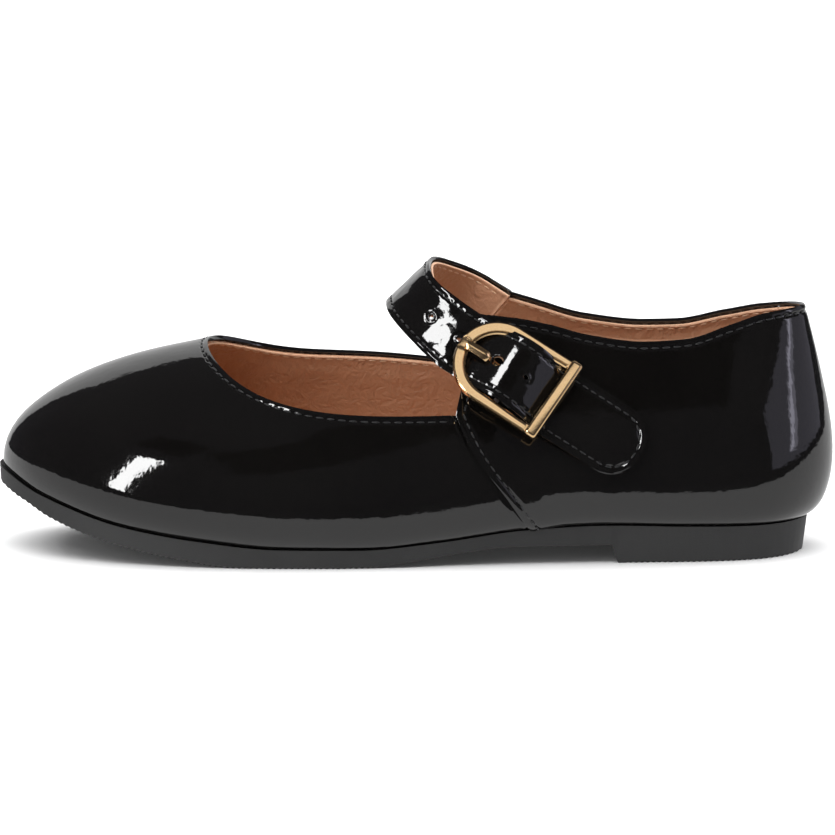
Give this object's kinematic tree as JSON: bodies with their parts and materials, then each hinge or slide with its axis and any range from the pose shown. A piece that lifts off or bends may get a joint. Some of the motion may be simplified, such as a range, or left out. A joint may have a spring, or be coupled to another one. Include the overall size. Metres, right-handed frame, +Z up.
{
  "type": "mary jane shoe",
  "caption": "Child's left strap shoe in patent leather, leather lined, on a moulded rubber sole, with a strap that closes in a metal buckle.",
  "frame": {"origin": "on the ground under the middle of the shoe's box", "axes": "+X from toe to heel, +Y to the inner side of the left foot, +Z up"},
  "size_m": [0.1894, 0.0696, 0.0651],
  "materials": {
    "patent_leather": "black patent leather, mirror gloss",
    "lining_leather": "tan lining leather, matt, fine grain",
    "sole_rubber": "black moulded rubber, satin",
    "buckle_metal": "pale gold plate, satin polish",
    "pin_steel": "plain steel wire",
    "shank_steel": "spring steel strip",
    "board": "pressed fibre board",
    "filler": "cork sheet",
    "foam": "latex foam",
    "stiffener": "resin-stiffened felt"
  },
  "bodies": {
    "shoe": {"outsole": "sole_rubber", "insole_board": "board", "bottom_filler": "filler", "shank": "shank_steel", "heel_pad": "foam", "sock_liner": "lining_leather", "vamp": "patent_leather", "vamp_lining": "lining_leather", "toe_puff": "stiffener", "heel_counter": "stiffener", "quarter_lateral": "patent_leather", "quarter_medial": "patent_leather", "lining_lateral": "lining_leather", "lining_medial": "lining_leather", "buckle_tab": "patent_leather"},
    "strap": {"strap_outer": "patent_leather", "strap_lining": "lining_leather"},
    "buckle": {"buckle_frame": "buckle_metal", "buckle_pin": "pin_steel"},
    "prong": {"buckle_prong": "buckle_metal"}
  },
  "joints": [
    {"name": "strap_open", "type": "hinge", "parent": "shoe", "child": "strap", "pos_m": [0.0146, 0.01505, 0.04819], "axis": [-0.6, 0, -0.8], "range_deg": [0, 70], "deforming": ["strap_outer", "strap_lining"]},
    {"name": "buckle_swing", "type": "hinge", "parent": "shoe", "child": "buckle", "pos_m": [0.02189, -0.02415, 0.04237], "axis": [0.548, 0.3966, 0.7365], "range_deg": [0, 11]},
    {"name": "prong_swing", "type": "hinge", "parent": "buckle", "child": "prong", "pos_m": [0.02189, -0.02415, 0.04237], "axis": [0.548, 0.3966, 0.7365], "range_deg": [0, 100]}
  ],
  "couplings": [
    {"joint": "buckle_swing", "follows": "strap_open", "ratio": 0.15},
    {"joint": "prong_swing", "follows": "strap_open", "ratio": 1.4}
  ]
}
